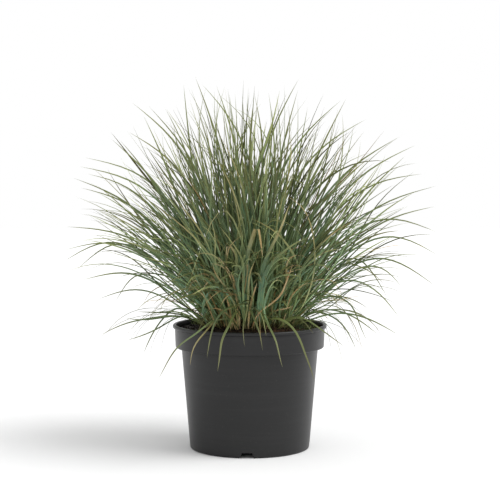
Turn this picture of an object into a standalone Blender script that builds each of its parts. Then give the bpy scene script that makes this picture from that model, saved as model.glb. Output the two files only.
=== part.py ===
"""Ornamental grass clump growing in a round nursery pot.

Metres, +Z up. The origin is on the floor, on the pot's axis, and -Y is the front.
The pot is turned from one outline. The grass is a set of tufts: each is one closed
solid, a short sheath that fans out into tapered blades along a shared flow of arcs.
"""

import math

import bmesh
import bpy
import numpy as np
from mathutils import Vector

# Pot, outside
POT_HEIGHT = 0.153
LIP_RADIUS = 0.095
LIP_HEIGHT = 0.0045
LIP_ROUND = 0.0018
COLLAR_TOP_RADIUS = 0.0925
COLLAR_BOTTOM_RADIUS = 0.0917
COLLAR_BOTTOM = 0.1248
COLLAR_CORNER = 0.0018
BODY_TOP_RADIUS = 0.0843
FOOT_CORNER_TOP_RADIUS = 0.0740
FOOT_RADIUS = 0.0714
FOOT_CORNER = 0.0022

# Pot, inside
WALL = 0.0017
FOOT_WIDTH = 0.0026
BASE_UNDERSIDE = 0.0045
BASE_TOP = 0.0062
POT_STEPS = 44
SHARP_ANGLE = math.radians(35.0)

# Drainage notches through the foot
NOTCH_COUNT = 4
NOTCH_TURN = math.radians(-2.5)
NOTCH_HEIGHT = 0.0068
NOTCH_TOP_WIDTH = 0.0122
NOTCH_FLOOR_WIDTH = 0.0172
NOTCH_INNER_RADIUS = 0.060
NOTCH_OUTER_RADIUS = 0.080
CUTTER_DROP = 0.002

# Growing mix, raised under the clump and sunk along the wall
GAP = 0.0003
SOIL_TOP = 0.1510
SOIL_EDGE_DROP = 0.0050
SOIL_SLOPE_SHARE = 0.56
SOIL_FLAT_RADIUS = 0.068
SOIL_RIPPLE = 0.0002
SOIL_LONG_WAVES = 5.0
SOIL_SHORT_WAVES = 11.0

# Upright and arching tufts, in rings of equal cell area from the middle out
CROWN_RADIUS = 0.056
RING_TUFTS = (4, 8, 12, 16)
RING_TURN = (31.0, 12.0, 5.0, 0.0)
RING_SPREAD = (0.70, 0.72, 0.70, 0.60)
RING_STEPS = (3, 3, 3, 4)
BLADES_PER_TUFT = 6
START_LEAN = math.radians(51.0)
END_LEAN = math.radians(109.0)
SPREAD_RADIUS = 0.2345
REACH_MIDDLE = 0.306
REACH_LOSS = 0.125
REACH_POWER = 1.6
SHORTEST_BLADE = 0.84
SHEATH_RADIUS = 0.0050
SHEATH_LENGTH = 0.011
FAN_SHARE = 0.45
BLADE_FLATNESS = 0.45
BLADE_TAPER = 0.55
BLADE_FLATTENING = 4

# Drooping tufts, between the outermost ring and the pot's rim
DROOP_TUFTS = 8
DROOP_BLADES = 4
DROOP_START = 0.0635
DROOP_SHEATH_RADIUS = 0.0034
DROOP_SHEATH_SHARE = 0.10
DROOP_SPREAD = math.radians(9.5)
DROOP_STEPS = 5
# Control points (radius, height) of the shortest and of the widest drooping blade
DROOP_SHORT = ((0.0840, 0.1740), (0.1200, 0.1740), (0.1290, 0.1000))
DROOP_WIDE = ((0.0950, 0.1720), (0.1580, 0.1740), (0.1880, 0.1320))
DROOP_REACH = (0.0, 0.75, 0.30, 1.0)

SEED = 7


def clear_scene():
    for item in list(bpy.data.objects):
        bpy.data.objects.remove(item, do_unlink=True)


def principled(name, colour, roughness):
    material = bpy.data.materials.new(name)
    material.use_nodes = True
    shader = material.node_tree.nodes["Principled BSDF"]
    shader.inputs["Base Color"].default_value = (*colour, 1.0)
    shader.inputs["Roughness"].default_value = roughness
    shader.inputs["Metallic"].default_value = 0.0
    return material


def add_object(name, mesh, material):
    item = bpy.data.objects.new(name, mesh)
    item.data.materials.append(material)
    bpy.context.collection.objects.link(item)
    return item


def mesh_from(form, name):
    bmesh.ops.recalc_face_normals(form, faces=form.faces)
    mesh = bpy.data.meshes.new(name)
    form.to_mesh(mesh)
    form.free()
    return mesh


def corner_arc(centre, radii, start, end, steps):
    """Points of an elliptical arc in the (radius, height) plane; angles in degrees."""
    points = []
    for i in range(steps + 1):
        angle = math.radians(start + (end - start) * i / steps)
        points.append((centre[0] + radii[0] * math.cos(angle), centre[1] + radii[1] * math.sin(angle)))
    return points


def body_outside(height):
    """Radius of the straight tapered wall's outside at a height."""
    share = (height - FOOT_CORNER) / (COLLAR_BOTTOM - FOOT_CORNER)
    return FOOT_CORNER_TOP_RADIUS + (BODY_TOP_RADIUS - FOOT_CORNER_TOP_RADIUS) * share


def pot_inside():
    """Inner outline from the middle of the base up to the bottom of the lip."""
    ledge = COLLAR_BOTTOM + WALL
    return [
        (0.0, BASE_TOP),
        (body_outside(BASE_TOP) - WALL, BASE_TOP),
        (BODY_TOP_RADIUS - WALL, ledge),
        (COLLAR_BOTTOM_RADIUS - WALL, ledge),
        (COLLAR_TOP_RADIUS - WALL, POT_HEIGHT - LIP_HEIGHT),
    ]


def pot_outline():
    """Whole closed outline: underside, foot, wall, collar, lip, then back down the inside."""
    foot_inside = FOOT_RADIUS - FOOT_WIDTH
    lip_low = POT_HEIGHT - LIP_HEIGHT
    corner_middle = (COLLAR_BOTTOM_RADIUS - COLLAR_CORNER, COLLAR_BOTTOM + COLLAR_CORNER)
    foot_middle = (FOOT_RADIUS, FOOT_CORNER)
    foot_radii = (FOOT_CORNER_TOP_RADIUS - FOOT_RADIUS, FOOT_CORNER)
    lip_middle = (LIP_RADIUS - LIP_ROUND, POT_HEIGHT - LIP_ROUND)
    outline = [(0.0, BASE_UNDERSIDE), (foot_inside, BASE_UNDERSIDE), (foot_inside, 0.0)]
    outline += corner_arc(foot_middle, foot_radii, -90, 0, 2)
    outline += [(BODY_TOP_RADIUS, COLLAR_BOTTOM)]
    outline += corner_arc(corner_middle, (COLLAR_CORNER, COLLAR_CORNER), -90, 0, 2)
    outline += [(COLLAR_TOP_RADIUS, lip_low), (LIP_RADIUS - LIP_ROUND, lip_low)]
    outline += [(LIP_RADIUS, lip_low + LIP_ROUND)]
    outline += corner_arc(lip_middle, (LIP_ROUND, LIP_ROUND), 0, 90, 2)
    outline += [(COLLAR_TOP_RADIUS, POT_HEIGHT), (COLLAR_TOP_RADIUS - WALL, POT_HEIGHT - WALL)]
    outline += reversed(pot_inside())
    return outline


def turned_mesh(name, outline, steps):
    """Spin an outline of (radius, height) points, which starts and ends on the axis."""
    form = bmesh.new()
    corners = [form.verts.new((radius, 0.0, height)) for radius, height in outline]
    edges = [form.edges.new(pair) for pair in zip(corners, corners[1:])]
    axis = Vector((0.0, 0.0, 1.0))
    bmesh.ops.spin(
        form,
        geom=corners + edges,
        cent=(0.0, 0.0, 0.0),
        axis=axis,
        angle=2.0 * math.pi,
        steps=steps,
        use_merge=True,
    )
    bmesh.ops.remove_doubles(form, verts=form.verts, dist=1e-6)
    bmesh.ops.dissolve_degenerate(form, edges=form.edges, dist=1e-7)
    return mesh_from(form, name)


def notch_cutter(index):
    """Trapezoid bar across the foot, lying along its own radius."""
    form = bmesh.new()
    floor_half = NOTCH_FLOOR_WIDTH / 2
    top_half = NOTCH_TOP_WIDTH / 2
    slope = (floor_half - top_half) / NOTCH_HEIGHT
    low_half = floor_half + slope * CUTTER_DROP
    section = ((-low_half, -CUTTER_DROP), (low_half, -CUTTER_DROP))
    section += ((top_half, NOTCH_HEIGHT), (-top_half, NOTCH_HEIGHT))
    rings = []
    for radius in (NOTCH_INNER_RADIUS, NOTCH_OUTER_RADIUS):
        rings.append([form.verts.new((across, -radius, height)) for across, height in section])
    form.faces.new(rings[0])
    form.faces.new(rings[1])
    for i in range(4):
        following = (i + 1) % 4
        form.faces.new((rings[0][i], rings[0][following], rings[1][following], rings[1][i]))
    cutter = bpy.data.objects.new(f"notch_cutter_{index}", mesh_from(form, "notch_cutter"))
    bpy.context.collection.objects.link(cutter)
    cutter.rotation_euler.z = NOTCH_TURN + 2.0 * math.pi * index / NOTCH_COUNT
    cutter.hide_render = True
    cutter.display_type = "WIRE"
    return cutter


def build_pot():
    mesh = turned_mesh("pot", pot_outline(), POT_STEPS)
    mesh.shade_smooth()
    mesh.set_sharp_from_angle(angle=SHARP_ANGLE)
    pot = add_object("pot", mesh, principled("charcoal plastic", (0.030, 0.031, 0.032), 0.5))
    for index in range(NOTCH_COUNT):
        cut = pot.modifiers.new(f"notch {index}", "BOOLEAN")
        cut.operation = "DIFFERENCE"
        cut.solver = "EXACT"
        cut.object = notch_cutter(index)


def soil_outline():
    """The inner outline drawn in by the gap, closed by a top that is flat under the tufts."""
    inside = pot_inside()
    outline = [(0.0, BASE_TOP + GAP)]
    outline.append((inside[1][0] - GAP, BASE_TOP + GAP))
    outline.append((inside[2][0] - GAP, inside[2][1] + GAP))
    outline.append((inside[3][0] - GAP, inside[3][1] + GAP))
    low, high = inside[3], inside[4]
    top_edge = SOIL_TOP - SOIL_EDGE_DROP
    share = (top_edge - low[1]) / (high[1] - low[1])
    outline.append((low[0] + (high[0] - low[0]) * share - GAP, top_edge))
    slope_middle = (SOIL_FLAT_RADIUS + outline[-1][0]) / 2
    outline.append((slope_middle, SOIL_TOP - SOIL_EDGE_DROP * SOIL_SLOPE_SHARE))
    outline.append((SOIL_FLAT_RADIUS, SOIL_TOP))
    outline.append((0.0, SOIL_TOP))
    return outline


def build_soil():
    outline = soil_outline()
    mesh = turned_mesh("growing_mix", outline, POT_STEPS)
    ripple_radius = outline[-3][0]
    for vertex in mesh.vertices:
        radius = math.hypot(vertex.co.x, vertex.co.y)
        if abs(radius - ripple_radius) < GAP:
            azimuth = math.atan2(vertex.co.y, vertex.co.x)
            waves = math.sin(SOIL_LONG_WAVES * azimuth) + math.cos(SOIL_SHORT_WAVES * azimuth)
            vertex.co.z += SOIL_RIPPLE * waves
    add_object("growing_mix", mesh, principled("dark growing mix", (0.030, 0.020, 0.012), 0.95))


def outward(azimuth):
    return Vector((math.cos(azimuth), math.sin(azimuth), 0.0))


def across(azimuth):
    return Vector((-math.sin(azimuth), math.cos(azimuth), 0.0))


def crown_flow(share, azimuth, along, length_factor):
    """Point and lean of a blade that leaves the crown at this share of its radius.

    Every blade is an arc in its own upright plane. The lean at the start and at the tip
    grows with the share, so arcs of different shares or azimuths never cross.
    """
    start = START_LEAN * share
    end = END_LEAN * share
    middle = (start + end) / 2
    half_turn = max((end - start) / 2, 1e-6)
    reach = REACH_MIDDLE - REACH_LOSS * share**REACH_POWER
    reach = min(reach, (SPREAD_RADIUS - CROWN_RADIUS * share) / math.sin(middle))
    length = reach * half_turn / math.sin(half_turn)
    lean = start + (end - start) * along * length_factor
    travelled = max(length * along * length_factor, 1e-9)
    bend = max((lean - start) / 2, 1e-6)
    chord = travelled * math.sin(bend) / bend
    chord_lean = (start + lean) / 2
    point = outward(azimuth) * (CROWN_RADIUS * share + chord * math.sin(chord_lean))
    point.z = SOIL_TOP + GAP + chord * math.cos(chord_lean)
    return point, lean


def droop_flow(reach, azimuth, along):
    """Point and lean of a drooping blade: a cubic curve over the rim, reach from 0 to 1."""
    start = Vector((DROOP_START, SOIL_TOP + GAP))
    controls = [start]
    for short, wide in zip(DROOP_SHORT, DROOP_WIDE):
        controls.append(Vector(short).lerp(Vector(wide), reach))
    rest = 1.0 - along
    weights = (rest**3, 3 * rest * rest * along, 3 * rest * along * along, along**3)
    place = sum((c * w for c, w in zip(controls, weights)), Vector((0.0, 0.0)))
    slopes = (rest * rest, 2 * rest * along, along * along)
    heading = Vector((0.0, 0.0))
    for i in range(3):
        heading += (controls[i + 1] - controls[i]) * slopes[i]
    point = outward(azimuth) * place.x
    point.z = place.y
    return point, math.atan2(heading.x, heading.y)


def tuft_mesh(name, sides, radius, sheath_end, flow, steps):
    """Sheath prism whose cap triangles are each drawn out into one tapered blade.

    flow(blade, along) gives point, lean and azimuth; blade None is the sheath's own middle.
    """
    form = bmesh.new()

    def ring(along, lean_share):
        point, lean, azimuth = flow(None, along)
        tilt = lean * lean_share
        corners = []
        for k in range(sides):
            angle = 2.0 * math.pi * (k - 0.5) / sides
            side = across(azimuth) * (radius * math.cos(angle))
            depth = outward(azimuth) * (radius * math.sin(angle) * math.cos(tilt))
            drop = Vector((0.0, 0.0, -radius * math.sin(angle) * math.sin(tilt)))
            corners.append(form.verts.new(point + side + depth + drop))
        return corners, point

    bottom, _ = ring(0.0, 0.0)
    top, top_point = ring(sheath_end, 1.0)
    form.faces.new(bottom)
    for k in range(sides):
        following = (k + 1) % sides
        form.faces.new((bottom[k], bottom[following], top[following], top[k]))
    middle = form.verts.new(top_point)
    _, sheath_lean, sheath_azimuth = flow(None, sheath_end)
    sheath_side = across(sheath_azimuth)
    sheath_depth = leaning(sheath_azimuth, sheath_lean)
    for k in range(sides):
        start_ring = (middle, top[k], top[(k + 1) % sides])
        centre = sum((v.co for v in start_ring), Vector()) / 3.0
        offsets = [((v.co - centre).dot(sheath_side), (v.co - centre).dot(sheath_depth)) for v in start_ring]
        blade_base, _, _ = flow(k, sheath_end)
        shift = centre - blade_base
        previous = start_ring
        for step in range(1, steps + 1):
            share = step / (steps + 1)
            along = sheath_end + (1.0 - sheath_end) * share
            point, lean, azimuth = flow(k, along)
            width = (1.0 - share) ** BLADE_TAPER
            depth = width * (BLADE_FLATNESS + (1.0 - BLADE_FLATNESS) * (1.0 - share) ** BLADE_FLATTENING)
            place = point + shift * (1.0 - share)
            side = across(azimuth) * width
            normal = leaning(azimuth, lean) * depth
            current = [form.verts.new(place + side * a + normal * b) for a, b in offsets]
            for i in range(3):
                j = (i + 1) % 3
                form.faces.new((previous[i], previous[j], current[j], current[i]))
            previous = current
        tip_point, _, _ = flow(k, 1.0)
        tip = form.verts.new(tip_point)
        for i in range(3):
            form.faces.new((previous[i], previous[(i + 1) % 3], tip))
    bmesh.ops.triangulate(form, faces=form.faces)
    return mesh_from(form, name)


def leaning(azimuth, lean):
    """Direction square to a leaning blade, in its upright plane."""
    direction = outward(azimuth) * math.cos(lean)
    direction.z = -math.sin(lean)
    return direction


def fan_out(along):
    """Share of a tuft's full spread that is reached at this point along its blades."""
    share = min(along / FAN_SHARE, 1.0)
    return share * share * (3.0 - 2.0 * share)


def build_rings(material):
    random = np.random.default_rng(SEED)
    cells = sum(RING_TUFTS)
    counted = 0
    number = 1
    for count, turn, spread, steps in zip(RING_TUFTS, RING_TURN, RING_SPREAD, RING_STEPS):
        inner = math.sqrt(counted / cells)
        counted += count
        outer = math.sqrt(counted / cells)
        for i in range(count):
            azimuth = 2.0 * math.pi * (i + 0.5) / count + math.radians(turn)
            half_angle = math.pi / count * spread
            middle = (inner + outer) / 2
            half_share = (outer - inner) / 2 * spread
            lengths = random.uniform(SHORTEST_BLADE, 1.0, BLADES_PER_TUFT)
            lengths[i % BLADES_PER_TUFT] = 1.0
            lengths[(i + 3) % BLADES_PER_TUFT] = 1.0

            def flow(blade, along):
                if blade is None:
                    point, lean = crown_flow(middle, azimuth, along, 1.0)
                    return point, lean, azimuth
                angle = 2.0 * math.pi * blade / BLADES_PER_TUFT
                fan = fan_out(along)
                own_azimuth = azimuth + half_angle * math.cos(angle) * fan
                own_share = middle + half_share * math.sin(angle) * fan
                point, lean = crown_flow(own_share, own_azimuth, along, lengths[blade])
                return point, lean, own_azimuth

            name = f"tuft_{number:02d}"
            sheath_end = SHEATH_LENGTH / REACH_MIDDLE
            mesh = tuft_mesh(name, BLADES_PER_TUFT, SHEATH_RADIUS, sheath_end, flow, steps)
            add_object(name, mesh, material)
            number += 1


def build_drooping(material):
    for i in range(DROOP_TUFTS):
        azimuth = 2.0 * math.pi * (i + 0.5) / DROOP_TUFTS

        def flow(blade, along):
            if blade is None:
                point, lean = droop_flow(sum(DROOP_REACH) / DROOP_BLADES, azimuth, along)
                return point, lean, azimuth
            angle = 2.0 * math.pi * blade / DROOP_BLADES
            own_azimuth = azimuth + DROOP_SPREAD * math.cos(angle) * fan_out(along)
            point, lean = droop_flow(DROOP_REACH[blade], own_azimuth, along)
            return point, lean, own_azimuth

        name = f"drooping_tuft_{i + 1}"
        mesh = tuft_mesh(name, DROOP_BLADES, DROOP_SHEATH_RADIUS, DROOP_SHEATH_SHARE, flow, DROOP_STEPS)
        add_object(name, mesh, material)


def build_grass():
    build_rings(principled("blue green blade", (0.110, 0.145, 0.090), 0.55))
    build_drooping(principled("yellow green blade", (0.190, 0.210, 0.090), 0.55))


clear_scene()
build_pot()
build_soil()
build_grass()
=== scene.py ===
"""Ornamental grass clump in a round nursery pot: its looks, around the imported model.

Metres, +Z up, the same frame as the model: the origin is on the floor on the pot's axis and
-Y is the front. Each tuft of the model gets one piece made of fine leaves that leave the
crown where the tuft does and reach as far as its own blades.
"""

from math import atan2, ceil, cos, hypot, pi, radians, sin, sqrt, tau

import bmesh
import bpy
import numpy as np
from mathutils import Euler, Matrix, Vector, noise


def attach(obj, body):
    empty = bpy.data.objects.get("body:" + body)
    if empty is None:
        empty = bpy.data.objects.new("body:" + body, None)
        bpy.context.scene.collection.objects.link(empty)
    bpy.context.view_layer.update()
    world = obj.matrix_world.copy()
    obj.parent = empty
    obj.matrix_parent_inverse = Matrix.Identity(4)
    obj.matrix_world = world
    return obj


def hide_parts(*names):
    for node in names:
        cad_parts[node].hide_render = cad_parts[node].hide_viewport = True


SEED = 21
TINY = 1e-9

# Camera and light
LENS_MM = 100.0
SENSOR_MM = 36.0
CAMERA_DISTANCE = 1.711
CAMERA_PITCH = radians(3.45)
LOOK_AT = Vector((0.0003, 0.0, 0.2443))
EYE = LOOK_AT + Vector((0.0, -cos(CAMERA_PITCH), sin(CAMERA_PITCH))) * CAMERA_DISTANCE
KEY_ELEVATION = radians(48.0)
KEY_AZIMUTH = radians(-15.0)
KEY_ANGLE = radians(40.0)
KEY_STRENGTH = 2.4
WORLD_STRENGTH = 1.0
FLOOR_SIZE = 12.0

# Pot, the same sizes as the model's
POT_HEIGHT = 0.153
LIP_RADIUS = 0.095
LIP_HEIGHT = 0.0045
LIP_ROUND = 0.0018
LIP_EDGE = 0.0012
COLLAR_TOP_RADIUS = 0.0925
COLLAR_BOTTOM_RADIUS = 0.0917
COLLAR_BOTTOM = 0.1248
COLLAR_CORNER = 0.0018
BODY_TOP_RADIUS = 0.0843
FOOT_TOP_RADIUS = 0.074
FOOT_RADIUS = 0.0714
FOOT_CORNER = 0.0022
WALL = 0.0017
LEDGE_HEIGHT = COLLAR_BOTTOM + WALL
FOOT_WIDTH = 0.0026
BASE_UNDERSIDE = 0.0045
BASE_TOP = 0.0062
POT_STEPS = 176
NOTCH_COUNT = 4
NOTCH_TURN = radians(-2.5)
NOTCH_HEIGHT = 0.0068
NOTCH_TOP_WIDTH = 0.0122
NOTCH_FLOOR_WIDTH = 0.0172
NOTCH_RADII = (0.06, 0.08)
CUTTER_DROP = 0.002

# Growing mix. Roughness as depth, scale and layer of noise
GAP = 0.0003
SOIL_TOP = 0.151
SOIL_EDGE_DROP = 0.005
SOIL_FLAT_RADIUS = 0.062
SOIL_RADIUS = 0.0902
SOIL_MOUND = 0.0022
SOIL_MOUND_RADIUS = 0.056
SOIL_ROUGHNESS = ((0.0011, 70.0, 3.0), (0.0007, 210.0, 9.0))
SOIL_RINGS = 46
SOIL_STEPS = 150

# Loose bits: name, count, least and greatest size, flatness, dark and pale colour
LOOSE_BITS = (
    ("mix_crumbs", 620, (0.0006, 0.0021), 0.7, (0.006, 0.004, 0.003), (0.036, 0.019, 0.009)),
    ("bark_chips", 46, (0.0022, 0.0046), 0.3, (0.022, 0.01, 0.005), (0.085, 0.036, 0.015)),
)
LOOSE_RADIUS = 0.0875
CROWDED_RADIUS = 0.083
# Moss patches: x, y, spread and number of shoots
MOSS_PATCHES = (
    (0.058, -0.018, 0.012, 260),
    (0.07, 0.02, 0.012, 156),
    (-0.06, 0.035, 0.01, 104),
)
MOSS_RADIUS = 0.086

# Colours. Leaves have a fresh and a mellow colour and one for their tips and midribs
BLUE_GREEN = ((0.06, 0.126, 0.073), (0.136, 0.182, 0.062), (0.196, 0.21, 0.053))
YELLOW_GREEN = ((0.092, 0.142, 0.056), (0.17, 0.206, 0.066), (0.195, 0.2, 0.088))
LEAF_MARGIN = (0.165, 0.185, 0.07)
LEAF_SPOTS = (0.17, 0.085, 0.03)
# Red, green and blue factors, each for dark and for pale leaves
LEAF_TINTS = ((1.06, 0.99), (1.0, 1.0), (0.73, 1.24))
PAPERY_BASE = ((0.1, 0.07, 0.026), (0.19, 0.128, 0.05))
STRAW = ((0.37, 0.225, 0.088), (0.46, 0.35, 0.17))
CHARCOAL = ((0.008, 0.008, 0.0082), (0.0105, 0.0105, 0.0108))
FLOW_MARKS = (0.019, 0.019, 0.0195)
DUST = (0.06, 0.056, 0.05)
MIX_BROWNS = ((0.01, 0.005, 0.0028), (0.072, 0.034, 0.014))
MIX_FIBRE = (0.085, 0.045, 0.02)
# Colour of the mix under the painted shade on the left of the pot
MIX_IN_PAINTED_SHADE = (0.004, 0.003, 0.0022)
MOSS_GREENS = ((0.02, 0.034, 0.008), (0.075, 0.105, 0.022))
FLOOR_GREYS = ((0.735, 0.737, 0.74), (0.745, 0.745, 0.745))

# The clump's flow, the same law as the model's
CROWN_RADIUS = 0.05
CROWN_SHIFT = 0.003
RING_TUFTS = (4, 8, 12, 16)
RING_TURN = (31.0, 12.0, 5.0, 0.0)
RING_TILLERS = (10, 9, 9, 5)
START_LEAN = radians(36.0)
RIGHT_LEAN = 0.05
FREE_START = radians(33.0)
LARGEST_START = radians(48.0)
LARGEST_END = radians(118.0)
FULL_REACH_LEAN = radians(80.0)
SPREAD_RADIUS = 0.2345
WIDEST_SHARE = 0.8
REACH_MIDDLE = 0.306
REACH_LOSS = 0.115
REACH_POWER = 1.6

# Upright tufts. Sways, scatters and waves are spreads in degrees
LEAVES_PER_TILLER = 4
CHOICES = 20
SPACED_AT = (0.1, 0.14, 0.18, 0.22)
SPACING_RANGE = 0.015
ROOT_DEPTH = 0.002
SHARE_POWER = 1.15
TILLER_SWAY = 13.0
STRAY_SHARE = 0.4
STRAY_FOLLOW = (-1.1, 0.6)
STRAY_SWAY = 1.5
FAN = (radians(3.0), radians(17.0))
FAN_SPACING = 0.0012
START_SCATTER = 8.5
END_SCATTER = 16.0
SHORT_SCATTER = 2.0
FOLLOW = (0.95, 1.35)
OUTWARD = (0.3, 1.85)
CURL = (1.2, 2.5)
WAVE = 6.0
SHORT_SHARE = 0.22
SHORT_LENGTH = (0.24, 0.6)
LONGEST_SHARE = 0.11
LONGEST_LENGTH = (0.94, 1.02)
DEAD_SHARE = 0.03
DEAD_WIDTH = 0.75
KINKED_SHARE = 0.02
DEAD_KINKED = 0.35
KINK_LENGTH = 0.03
BROAD_SHARE = 0.05
BROAD_WIDTH = 1.5
CURLED_PER_TUFT = 4
CURLED_CHORD = (0.045, 0.125)

# Blades
LOOKS = ("tone", "dry", "shade")
BLADE_STEPS = 18
FINE_STEPS = 72
BLADE_WIDTH = 0.002
INNER_WIDTH = 1.26
OUTER_WIDTH = 0.84
WAVES = 1.25
BLADE_FOLD = 0.42
NARROW_FOLD = 1.1
OPENING = 0.4
DRY_FROM = 0.55
BLADE_THICKNESS = 0.1
LEAST_THICKNESS = 0.00004
LEAF_RIBS = 6.0
BAKE_ASPECT = 1.6

# Drooping tufts. Controls of the curve that reaches least and of the one that reaches most,
# as radius and height, and how far a leaf's own rise lifts each of them
DROOP_TUFTS = 8
DROOP_LEAVES = 5
DROOP_SPREAD = radians(22.0)
DROOP_START = (0.06, SOIL_TOP - 0.001)
DROOP_SHORT = (DROOP_START, (0.084, 0.174), (0.12, 0.174), (0.129, 0.1))
DROOP_WIDE = (DROOP_START, (0.095, 0.172), (0.158, 0.174), (0.188, 0.132))
DROOP_LIFT = (0.0, 0.6, 1.0, 0.6)
# Tufts nearer the front than this sine of their azimuth have listed leaves only
FRONT_SINE = -0.7

# Listed leaves: factors of their width and shade, and how far front ones come forward
OUTLINE_FACTORS = (0.85, 1.1)
FRONT_FACTORS = (1.0, 1.22)
RIM_FACTORS = (0.84, 1.03)
FRONT_LEAN = 0.95
FRONT_LEAN_TOP = 255.0

# Leaves that stand out one by one, a row each: its width, then its tone (0 blue green, 100
# yellow green) and how dry its base and its tip are in percent, its root's x and y in the
# crown, and the places that it passes: x, z as seen on the upright plane through the axis,
# and the depth y. Millimetres.
OUTLINE_LEAVES = """
# Top left
3.4 35 0 5, -8 6, -45 397 -6, -67 457 -10
3 45 0 0, -40 -8, -75 387 -14, -81 448 -18
3.2 40 0 0, -5 -10, -25 400 -25, -41 446 -30
3 50 0 0, 15 10, -31 415 20, -59 448 25
2.8 30 0 0, -12 25, -20 395 40, -25 436 45
2.8 50 0 0, -15 -5, -16 403 -10, -18 437 -12
2.8 40 0 0, -10 15, -7 397 20, -9 433 24
3.3 45 0 5, -35 10, -99 385 20, -144 425 26
3 50 0 0, -25 -12, -85 375 -30, -124 421 -40
2.8 40 0 0, -40 5, -91 394 10, -104 419 12
3.2 45 0 0, -50 -5, -106 356 -15, -130 409 -20
3.4 65 0 10, -20 20, -107 362 45, -148 389 60
3.4 35 0 0, -45 0, -123 335 5, -170 381 8
3 40 0 0, -48 -14, -138 354 -30, -160 380 -36
# Left side
2.8 50 0 0, -30 15, -144 341 35, -203 358 50
3 40 0 0, -35 -10, -150 331 -25, -209 347 -35
2.8 50 0 0, -40 20, -170 330 40, -200 338 46
3.2 30 0 0, -45 -8, -162 309 -15, -217 333 -20
3 45 0 0, -50 8, -156 304 15, -208 321 20
2.8 50 0 0, -45 -20, -158 263 -40, -225 273 -50
2.8 45 0 0, -40 10, -183 253 25, -232 243 30
2.8 55 0 0, -48 -10, -185 252 -20, -231 229 -24
2.8 50 0 0, -50 15, -174 249 30, -214 219 34
2.8 55 0 5, -52 -5, -156 216 -10, -207 207 -14
2.6 55 0 0, -54 0, -144 195 5, -188 183 8
2.6 50 0 0, -52 -12, -144 210 -20, -167 178 -24
# Low on the left, over the rim
2.2 70 0 10, -54 4, -85 162 8, -122 160 10, -154 153 12, -186 138 14
2.2 60 0 5, -52 -15, -75 163 -20, -114 147 -28, -153 132 -36
2.4 50 0 0, -50 10, -90 172 13, -110 156 16, -132 115 20
2.2 60 0 0, -54 -6, -85 164 -8, -114 167 -10, -141 168 -12
2.2 65 0 0, -54 8, -85 162 10, -129 158 14, -155 160 16
# Top right
3.3 50 0 0, 5 -6, 36 408 -20, 60 454 -28
3.2 55 0 5, 12 12, 43 381 25, 59 441 32
2.8 50 0 0, 14 -20, 27 409 -40, 23 437 -45
2.8 45 0 0, 20 5, 36 405 10, 33 435 10
2.8 50 0 0, 30 -10, 67 398 -20, 71 420 -24
3.3 55 0 5, 15 8, 85 364 20, 118 430 30
3.2 30 0 0, -5 -8, 71 390 -25, 112 428 -35
3 45 0 0, 2 18, 95 375 40, 143 405 50
3.2 40 0 0, 15 -12, 131 350 -30, 183 383 -40
3 45 0 0, 25 5, 152 346 12, 203 373 16
3.2 50 0 0, 45 -10, 149 319 -20, 191 360 -26
# Right side
2.8 45 0 0, 25 15, 161 328 30, 212 338 38
3 40 0 0, 35 -6, 171 304 -14, 229 323 -18
2.8 45 0 0, 40 10, 179 285 20, 228 298 26
2.8 40 0 0, 35 -15, 181 282 -30, 233 265 -36
2.8 50 0 0, 40 6, 187 259 14, 233 237 18
2.8 45 0 5, 45 -8, 169 233 -16, 230 199 -20
2.6 50 0 0, 50 10, 169 218 18, 188 198 20
2.6 45 0 0, 52 -4, 135 232 -8, 170 185 -10
2.6 50 0 0, 52 4, 132 206 6, 150 198 8, 185 160 10
# Low on the right, over the rim
2.4 55 0 0, 52 -8, 113 166 -12, 138 162 -14, 184 139 -20
2.4 60 0 0, 52 8, 90 170 10, 123 164 14, 158 140 18
2.4 50 0 0, 50 -10, 98 187 -14, 122 179 -16, 137 149 -18, 145 132 -19
2.4 55 0 0, 48 -18, 75 167 -26, 97 164 -34, 110 156 -38, 132 120 -46
"""
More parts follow.
